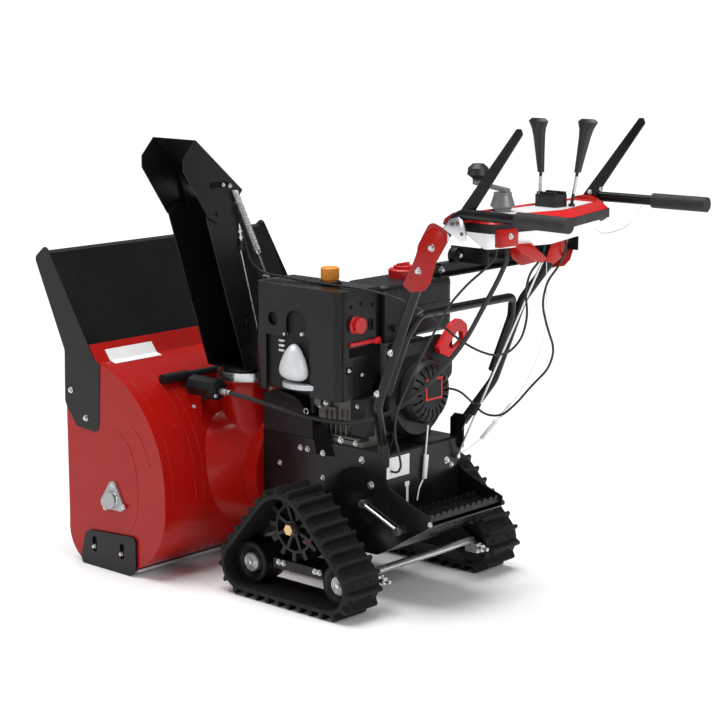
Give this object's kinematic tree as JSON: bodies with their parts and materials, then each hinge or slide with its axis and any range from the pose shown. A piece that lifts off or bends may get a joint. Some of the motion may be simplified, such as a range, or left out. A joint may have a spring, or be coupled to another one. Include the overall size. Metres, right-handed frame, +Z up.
{
  "type": "tracked snow blower",
  "caption": "Walk-behind two-stage snow blower on rubber crawler tracks, with a wide auger housing, raised scoop, turning discharge chute and splayed handlebars.",
  "frame": {"origin": "centre of the bounding box on the ground plane", "axes": "+X the machine's left, +Y its rear (the operator), +Z up"},
  "size_m": [0.864, 1.7162, 1.263],
  "materials": {
    "red_paint": "gloss",
    "black_paint": "semi-gloss",
    "track_rubber": "matt",
    "grip_rubber": "matt",
    "bare_steel": "zinc plated",
    "dark_steel": "worn",
    "cast_metal": "as cast",
    "black_plastic": "matt",
    "chute_plastic": "satin",
    "white_plastic": "satin",
    "red_plastic": "satin",
    "orange_plastic": "satin"
  },
  "bodies": {
    "chassis": {"auger_housing": "red_paint", "impeller_housing": "red_paint", "intake_extension": "black_paint", "scraper_bar": "bare_steel", "skid_shoes": "black_paint", "auger_bearings": "dark_steel", "auger_gearbox": "cast_metal", "chute_ring": "bare_steel", "chute_gearbox": "black_plastic", "gearbox_bracket": "red_paint", "tractor_frame": "black_paint", "cleanout_tool": "black_plastic", "belt_cover": "black_plastic", "engine_block": "cast_metal", "muffler": "dark_steel", "muffler_shroud": "black_paint", "exhaust_guard": "bare_steel", "engine_controls": "black_plastic", "stop_knob": "red_plastic", "fuel_tank": "black_plastic", "fuel_cap": "red_plastic", "oil_cap": "orange_plastic", "blower_housing": "black_paint", "recoil_cover": "black_plastic", "starter_grip": "red_plastic", "handlebar_left": "black_paint", "handlebar_right": "black_paint", "handlebar_crossbar": "black_paint", "grips": "grip_rubber", "handle_brackets": "red_paint", "cross_channel": "black_paint", "control_panel": "white_plastic", "panel_band": "black_plastic", "panel_rim": "red_plastic", "panel_brackets": "red_paint", "clutch_levers": "black_paint", "shift_levers": "black_plastic", "chute_crank": "black_plastic", "link_rods": "bare_steel", "foot_pedal": "black_paint", "chute_drive_shaft": "grip_rubber", "deflector_cable": "grip_rubber", "wiring_harness": "grip_rubber", "clutch_cable": "grip_rubber", "clutch_rod": "bare_steel"},
    "track_carriage": {"track_left": "track_rubber", "track_right": "track_rubber", "idler_wheels": "black_plastic", "idler_caps": "cast_metal", "drive_sprockets": "black_plastic", "drive_axle": "dark_steel", "track_frames": "black_paint", "tie_rod": "bare_steel"},
    "auger": {"auger": "red_paint"},
    "impeller": {"impeller": "red_paint"},
    "chute": {"chute": "chute_plastic", "deflector_spring": "bare_steel", "deflector_cable_end": "grip_rubber"},
    "chute_deflector": {"chute_deflector": "chute_plastic"}
  },
  "joints": [
    {"name": "track_tilt", "type": "hinge", "parent": "chassis", "child": "track_carriage", "pos_m": [0, 0.008, 0.201], "axis": [1, 0, 0], "range_deg": [-3, 8]},
    {"name": "auger_spin", "type": "hinge", "parent": "chassis", "child": "auger", "pos_m": [0, -0.561, 0.2], "axis": [1, 0, 0], "continuous": true},
    {"name": "impeller_spin", "type": "hinge", "parent": "chassis", "child": "impeller", "pos_m": [0, -0.3, 0.273], "axis": [0, 1, 0], "continuous": true},
    {"name": "chute_turn", "type": "hinge", "parent": "chassis", "child": "chute", "pos_m": [0.095, -0.367, 0.54], "axis": [0, 0, 1], "range_deg": [-190, 10]},
    {"name": "deflector_tilt", "type": "hinge", "parent": "chute", "child": "chute_deflector", "pos_m": [0.268, -0.367, 0.99], "axis": [0, 1, 0], "range_deg": [-20, 30], "deforming": ["deflector_spring"]}
  ],
  "couplings": [
    {"joint": "impeller_spin", "follows": "auger_spin", "ratio": 10}
  ]
}
